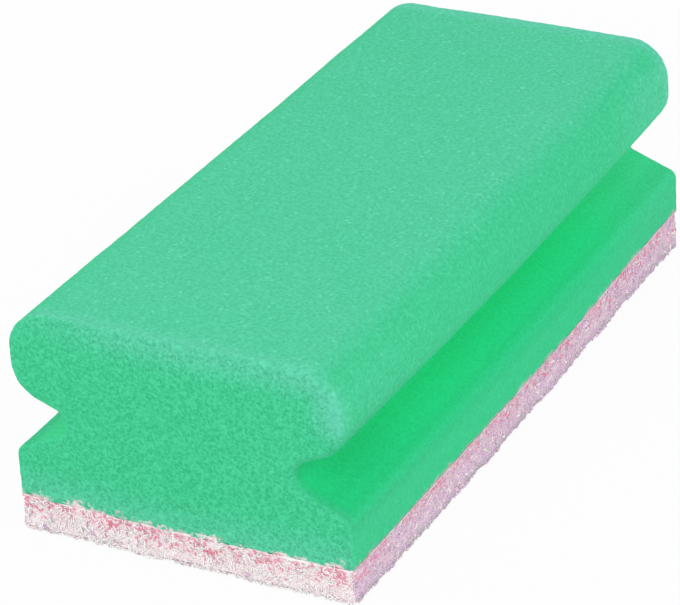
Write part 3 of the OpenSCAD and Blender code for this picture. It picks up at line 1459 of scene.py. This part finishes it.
@dataclass(frozen=True)
class FibreMat:
    """The outer fibres of the pad: short curled strands that lie over each other on its skin."""

    on_ends: int = 3800
    on_sides: int = 4000
    on_underside: int = 6600
    segments: int = 4
    seed: int = 7
    thickness: float = 0.6
    thickness_share: Spread = Spread(0.7, 1.3)
    finer_ends: float = 0.72
    flatness: float = 0.15
    tip: float = 0.45
    upright_length: float = 1.6
    underside_length: float = 5.5
    length_share: Spread = Spread(0.4, 1.0)
    wave_height: Spread = Spread(0.1, 0.5)
    wave_turns: Spread = Spread(0.4, 1.0)
    wave_phase: float = 6.3
    side_slant: float = 0.5

    # On the pad's upright skin, in millimetres but for the tufts' share of the strands
    lowest: float = 0.3
    below_glue: float = 0.05
    over_glue: float = 0.2
    tufts: float = 0.12
    tuft_height: float = 0.9
    tuft_lean: float = 0.2
    arch: float = 0.18
    sunk: float = 0.2
    drawn_in: float = 0.15
    drawn_in_height: Step = Step(1.0, 0.0)
    evened_top: Step = Step(6.4, 7.4)
    clearance: float = 0.06

    # Under the pad
    margin_below: float = 1.0
    height_below: Spread = Spread(0.17, 0.42)
    clear_of_body: float = 0.1

    # Weights of the colours. White, blush and lilac go from the ends' to the long sides'.
    faces_down: float = 0.5
    faces_aside: float = 0.6
    rose_patch: Roll = Roll(1.3, 4.0, 101)
    rose_mean: float = 0.8
    rose_on_ends: float = 0.9
    rose_end_reach: Step = Step(5.4, 0.6)
    rose_on_sides: float = 0.6
    rose_side_reach: Step = Step(3.8, 0.6)
    rose_below: float = 0.05
    rose_anywhere: float = 0.01
    worn_patch: Roll = Roll(2.0, 6.0, 121)
    worn_mean: float = 0.3
    worn_height: Step = Step(5.0, 3.0)
    grey_if_worn: float = 0.5
    # Painted contact shade: grey strands along the long sides' lower edge
    grey_hem_shade: float = 0.8
    grey_hem_height: Step = Step(2.6, 1.0)
    grey_on_ends: float = 0.08
    grey_end_height: Step = Step(1.4, 0.4)
    grey_anywhere: float = 0.03
    # Painted shade: lilac on the long sides
    lilac: Spread = Spread(0.02, 0.75)
    blush: Spread = Spread(0.3, 0.14)
    white: Spread = Spread(0.62, 0.04)

    def _curls(
        self, rng: np.random.Generator, count: int, longest: float, slant: Union[Array, float]
    ) -> tuple[Array, Array]:
        """Wavy strands on a plane, each turned its own way about its own middle.

        Along a strand, t goes from 0 to 1. It runs (t - 1/2) times its length forwards, and sideways
        by a wave of its own height and phase.

        Args:
            rng: the source of random numbers.
            count: how many strands.
            longest: the greatest length in millimetres.
            slant: the greatest angle between a strand and the plane's first axis.

        Returns:
            Places [strand, point, 2] on the plane, and t as one row for each strand.
        """
        t = np.tile(np.linspace(0, 1, self.segments + 1), (count, 1))
        length, wave, turn, phase, angle = rng.random((5, count, 1))
        ahead = (t - 0.5) * longest * self.length_share.pick(length)
        turned = self.wave_turns.pick(turn) * 2 * math.pi * t + self.wave_phase * phase
        aside = self.wave_height.pick(wave) * np.sin(turned)
        angle = (angle * 2 - 1) * slant
        across = ahead * np.cos(angle) - aside * np.sin(angle)
        up = ahead * np.sin(angle) + aside * np.cos(angle)
        return np.stack([across, up], axis=-1), t

    def _round_the_pad(
        self, rng: np.random.Generator, extent: Extent, pad: ScouringPad
    ) -> tuple[Array, Array, Array]:
        """Strands on the pad's upright skin, which follow it round the corners.

        Args:
            rng: the source of random numbers.
            extent: the pad's packed box.
            pad: the pad's body, for its unevenness.

        Returns:
            The strands' points, the way the skin faces at them, and each strand's middle.
        """
        half, reach, radius = extent.half_width, extent.length / 2, pad.corner_radius
        edge = rounded_line(
            [
                Corner(0.0, -reach),
                Corner(half, -reach, radius),
                Corner(half, reach, radius),
                Corner(-half, reach, radius),
                Corner(-half, -reach, radius),
                Corner(0.0, -reach),
            ],
            0.2,
        )
        run = np.concatenate([[0], np.cumsum(np.linalg.norm(np.diff(edge, axis=0), axis=1))])
        slope = np.gradient(edge, run, axis=0)
        count = self.on_ends + self.on_sides
        ends = np.array([0.0, 2 * half, 2 * half + 2 * reach, 4 * half + 2 * reach])
        on_end = np.arange(count) < self.on_ends
        middle = np.where(
            on_end,
            ends[2 * rng.integers(0, 2, count)] + rng.random(count) * 2 * half,
            ends[1 + 2 * rng.integers(0, 2, count)] + rng.random(count) * 2 * reach,
        )
        middle = (middle - half) % run[-1]
        room = Spread(self.lowest, extent.height - self.below_glue)
        height = room.pick(rng.random(count))
        tuft = self.tuft_height * (rng.random((count, 1)) < self.tufts) * on_end[:, None]
        tuft = self.over_glue + tuft
        slant = np.where(on_end, math.pi, self.side_slant)[:, None]
        curl, t = self._curls(rng, count, self.upright_length, slant)
        s = (middle[:, None] + curl[..., 0]) % run[-1]
        z = np.minimum(height[:, None] + curl[..., 1], extent.height + tuft)
        flat = np.stack([np.interp(s, run, edge[:, 0]), np.interp(s, run, edge[:, 1]), z], axis=-1)
        z = np.maximum(z, self.clearance + pad.hem(flat))
        flat[..., 2] = z
        along = unit(np.stack([np.interp(s, run, slope[:, k]) for k in (0, 1)], axis=-1))
        outward = np.stack([along[..., 1], -along[..., 0], 0 * z], axis=-1)
        out = pad.relief(flat) * (1 - pad.evened * self.evened_top.at(z))
        out += self.tuft_lean * tuft - self.sunk
        out += self.arch * rng.random((count, 1)) * np.sin(math.pi * t)
        out -= self.drawn_in * self.drawn_in_height.at(z)
        centre = np.column_stack([flat[:, self.segments // 2, :2], height])
        return flat + outward * out[..., None], outward, centre

    def _under_the_pad(
        self, rng: np.random.Generator, extent: Extent, pad: ScouringPad
    ) -> tuple[Array, Array, Array]:
        """Strands on the pad's underside, between its body and the ground.

        Args:
            rng: the source of random numbers.
            extent: the pad's packed box.
            pad: the pad's body, for its lift.

        Returns:
            The strands' points, the way the skin faces at them, and each strand's middle.
        """
        count = self.on_underside
        room = np.array([extent.half_width, extent.length / 2]) - self.margin_below
        middle = (rng.random((count, 2)) * 2 - 1) * room
        curl, t = self._curls(rng, count, self.underside_length, math.pi)
        flat = np.clip(middle[:, None] + curl, -room, room)
        arch = (pad.lift - self.clear_of_body) * (1 - np.sin(math.pi * t))
        z = self.height_below.pick(rng.random((count, 1))) + arch
        outward = np.zeros(flat.shape[:2] + (3,))
        outward[..., 2] = -1
        points = np.concatenate([flat, z[..., None]], axis=-1)
        return points, outward, np.column_stack([middle, np.zeros(count)])

    def _tubes(self, lines: Array, outward: Array, width: Array) -> tuple[Array, Faces]:
        """Three-sided flat tubes along lines, thinner at both ends and closed there.

        A ring's points lie round the line at 0, 120 and 240 degrees from the skin's outward side.

        Args:
            lines: the strands' points.
            outward: the way the skin faces at them.
            width: each strand's thickness.

        Returns:
            The tubes' points and faces.
        """
        tangent = unit(np.gradient(lines, axis=1))
        sideways = unit(np.cross(tangent, outward))
        upright = np.cross(sideways, tangent) * self.flatness
        t = np.linspace(0, 1, self.segments + 1)[None, :, None]
        radius = width[:, None, None] / 2 * Spread(self.tip, 1.0).pick(np.sqrt(np.sin(math.pi * t)))
        angle = np.arange(3) * 2 * math.pi / 3
        ring = (
            lines[:, :, None]
            + (radius * np.cos(angle))[..., None] * upright[:, :, None]
            + (radius * np.sin(angle))[..., None] * sideways[:, :, None]
        )
        number = np.arange(ring.shape[0] * ring.shape[1] * 3).reshape(ring.shape[:3])
        on = np.roll(number, -1, axis=2)
        quads = np.stack([number[:, :-1], number[:, 1:], on[:, 1:], on[:, :-1]], axis=-1)
        caps = (*number[:, 0], *number[:, -1, ::-1])
        return ring.reshape(-1, 3), Faces(quads.reshape(-1, 4), caps)

    def _colours(self, rng: np.random.Generator, middle: Array, outward: Array, top: float) -> Array:
        """Which colour each strand has, as a number in the order of Strand.

        Rose gathers in patches under the glue. The long sides are lilac as painted shade, and grey in
        worn patches and, as painted contact shade, along their lower edge. Each strand takes its
        colour by chance from the colours' weights.

        Args:
            rng: the source of random numbers.
            middle: each strand's middle.
            outward: the way the skin faces there.
            top: the height of the glue.

        Returns:
            One whole number for each strand.
        """
        height = middle[:, 2]
        under = outward[:, 2] < -self.faces_down
        side = (np.abs(outward[:, 0]) > self.faces_aside) & ~under
        patch = np.clip(self.rose_mean + self.rose_patch.at(middle), 0, 2)
        on_ends = self.rose_on_ends * self.rose_end_reach.at(top - height)
        on_sides = self.rose_on_sides * self.rose_side_reach.at(top - height)
        rose = self.rose_anywhere + patch * np.where(side, on_sides, on_ends)
        rose = np.where(under, self.rose_below, rose)
        worn = np.clip(self.worn_mean + self.worn_patch.at(middle), 0, 1)
        worn *= self.grey_if_worn * self.worn_height.at(height)
        grey_side = self.grey_hem_shade * self.grey_hem_height.at(height) + worn
        grey_end = self.grey_on_ends * self.grey_end_height.at(height)
        grey = self.grey_anywhere + np.where(side, grey_side, grey_end)
        white, blush, lilac = (w.pick(side) for w in (self.white, self.blush, self.lilac))
        weights = np.stack([white, blush, rose, lilac, grey])
        steps = np.cumsum(weights, axis=0) / weights.sum(axis=0)
        return (rng.random(len(middle)) > steps).sum(axis=0)

    def build(self, extent: Extent, pad: ScouringPad, sag: Sag) -> list[bpy.types.Object]:
        """Makes one piece of each colour of strand.

        Args:
            extent: the pad's packed box.
            pad: the pad's body.
            sag: how the sponge is out of true.

        Returns:
            The pieces, in the order of Strand.
        """
        rng = np.random.default_rng(self.seed)
        parts = (self._round_the_pad(rng, extent, pad), self._under_the_pad(rng, extent, pad))
        lines, outward, middle = (np.concatenate(group) for group in zip(*parts))
        kind = self._colours(rng, middle, outward[:, self.segments // 2], extent.high.z)
        width = self.thickness * self.thickness_share.pick(rng.random(len(lines)))
        width[: self.on_ends] *= self.finer_ends
        shade = rng.random(len(lines))
        pieces = []
        for place, strand in enumerate(Strand):
            mine = kind == place
            points, faces = self._tubes(lines[mine], outward[mine], width[mine])
            points[:, 2] = np.maximum(points[:, 2], 0.0)
            sag.bend(points, extent.half_width, extent.length / 2)
            layers = {"shade": np.repeat(shade[mine], 3 * (self.segments + 1))}
            finish = strand.value
            piece = make_piece(finish.name, points, faces, layers, finish.material())
            settle(piece, "scouring_pad")
            pieces.append(piece)
        return pieces


# The studio and the camera


@dataclass(frozen=True)
class SoftLamp:
    """A large round lamp that faces the sponge. Its place and size are in metres."""

    name: str
    place: Spot
    size: float
    power: float

    def hang(self) -> None:
        """Makes the lamp."""
        light = bpy.data.lights.new(self.name, "AREA")
        light.shape, light.size, light.energy = "DISK", self.size, self.power
        lamp = bpy.data.objects.new(self.name, light)
        lamp.location = self.place
        lamp.rotation_euler = Vector(self.place).to_track_quat("Z", "Y").to_euler()
        bpy.context.scene.collection.objects.link(lamp)


@dataclass(frozen=True)
class Studio:
    """A pale floor in a light tent: even light from all round and four large soft lamps."""

    floor_size: float = 6.0
    floor_colour: Colour = (0.9, 0.9, 0.9)
    floor_weave: float = 40.0
    floor_shade: Spread = Spread(0.99, 1.01)
    floor_seen: float = 0.92
    tent: float = 0.58
    lamps: tuple[SoftLamp, ...] = (
        SoftLamp("lamp_in_front", (0.18, -0.85, 0.5), 0.8, 3.7),
        SoftLamp("lamp_on_the_right", (0.74, 0.1, 0.56), 0.7, 2.2),
        SoftLamp("lamp_on_the_left", (-0.92, -0.17, 0.34), 0.8, 3.4),
        SoftLamp("lamp_behind", (0.1, 0.9, 0.4), 0.8, 0.9),
    )

    def _floor_material(self) -> bpy.types.Material:
        """The floor's material, mostly its own light where it is seen, so that it looks white."""
        shader = Shader("floor")
        cloth = shader.noise(shader.place(), self.floor_weave, detail=1.0)
        colour = shader.scaled(self.floor_colour, self.floor_shade.pick(cloth))
        matt = shader.node("ShaderNodeBsdfDiffuse", {}, {"Color": colour})
        bright = shader.node("ShaderNodeEmission", {}, {"Color": (1.0, 1.0, 1.0), "Strength": 1.0})
        path = shader.node("ShaderNodeLightPath", {}, {})
        seen = shader.output(path, "Is Camera Ray") + shader.output(path, "Is Glossy Ray")
        mixed = shader.node(
            "ShaderNodeMixShader",
            {},
            {
                0: seen * self.floor_seen,
                1: shader.output(matt, "BSDF"),
                2: shader.output(bright, "Emission"),
            },
        )
        return shader.finish(shader.output(mixed, "Shader"))

    def _world(self) -> None:
        """Even light from all round. The camera sees it as plain white."""
        world = bpy.data.worlds.new("tent")
        world.use_nodes = True
        nodes, links = world.node_tree.nodes, world.node_tree.links
        nodes.clear()
        output = nodes.new("ShaderNodeOutputWorld")
        mixed = nodes.new("ShaderNodeMixShader")
        path = nodes.new("ShaderNodeLightPath")
        for slot, strength in ((1, self.tent), (2, 1.0)):
            sky = nodes.new("ShaderNodeBackground")
            sky.inputs["Color"].default_value = (1.0, 1.0, 1.0, 1.0)
            sky.inputs["Strength"].default_value = strength
            links.new(sky.outputs[0], mixed.inputs[slot])
        links.new(path.outputs["Is Camera Ray"], mixed.inputs[0])
        links.new(mixed.outputs[0], output.inputs["Surface"])
        bpy.context.scene.world = world

    def build(self) -> None:
        """Lays the floor and hangs the lamps."""
        half = self.floor_size / 2 / METRES
        corners = np.array([[-1, -1, 0], [1, -1, 0], [1, 1, 0], [-1, 1, 0]]) * half
        faces = Faces(np.array([[0, 1, 2, 3]]))
        floor = make_piece("floor", corners, faces, {}, self._floor_material())
        self._world()
        for lamp in self.lamps:
            lamp.hang()


@dataclass(frozen=True)
class PhotoCamera:
    """The camera of the photograph: where it stands, how it is turned and how much it takes in."""

    azimuth: float = 28.7913
    elevation: float = 28.6984
    roll: float = -3.3104
    distance: float = 724.578
    aim: Spot = (0.0, 0.0, 23.65)
    aside: float = -4.8485
    raised: float = -5.5334
    focal_pixels: float = 3664.22
    picture_width: float = 680.0
    sensor: float = 36.0

    def build(self) -> bpy.types.Object:
        """Sets the camera up.

        It looks back along (sin a cos e, -cos a cos e, sin e) for the azimuth a and elevation e,
        and is turned about that line by the roll.

        Returns:
            The camera.
        """
        a, e, r = (math.radians(v) for v in (self.azimuth, self.elevation, self.roll))
        back = Vector((math.sin(a) * math.cos(e), -math.cos(a) * math.cos(e), math.sin(e)))
        level = Vector((math.cos(a), math.sin(a), 0.0))
        upright = back.cross(level)
        right = level * math.cos(r) + upright * math.sin(r)
        up = upright * math.cos(r) - level * math.sin(r)
        aim = Vector(self.aim) + right * self.aside + up * self.raised
        place = (aim + back * self.distance) * METRES
        data = bpy.data.cameras.new("camera")
        data.sensor_width = self.sensor
        data.lens = self.sensor * self.focal_pixels / self.picture_width
        camera = bpy.data.objects.new("camera", data)
        turned = Matrix((right, up, back)).transposed().to_4x4()
        camera.matrix_world = Matrix.Translation(place) @ turned
        bpy.context.scene.collection.objects.link(camera)
        bpy.context.scene.camera = camera
        return camera


def main() -> None:
    """Builds the sponge round its frame, then the studio and the camera."""
    logging.basicConfig(level=logging.INFO, format="%(message)s")
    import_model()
    bpy.context.scene.view_settings.view_transform = "Standard"
    PhotoCamera().build()
    sag, pad = Sag(), ScouringPad()
    FoamGrip().build(Extent.of("foam_body"), sag)
    GlueLine().build(Extent.of("glue_film"), sag)
    pad.build(Extent.of("scouring_pad"), sag)
    FibreMat().build(Extent.of("scouring_pad"), pad, sag)
    Studio().build()


if __name__ == "__main__":
    main()
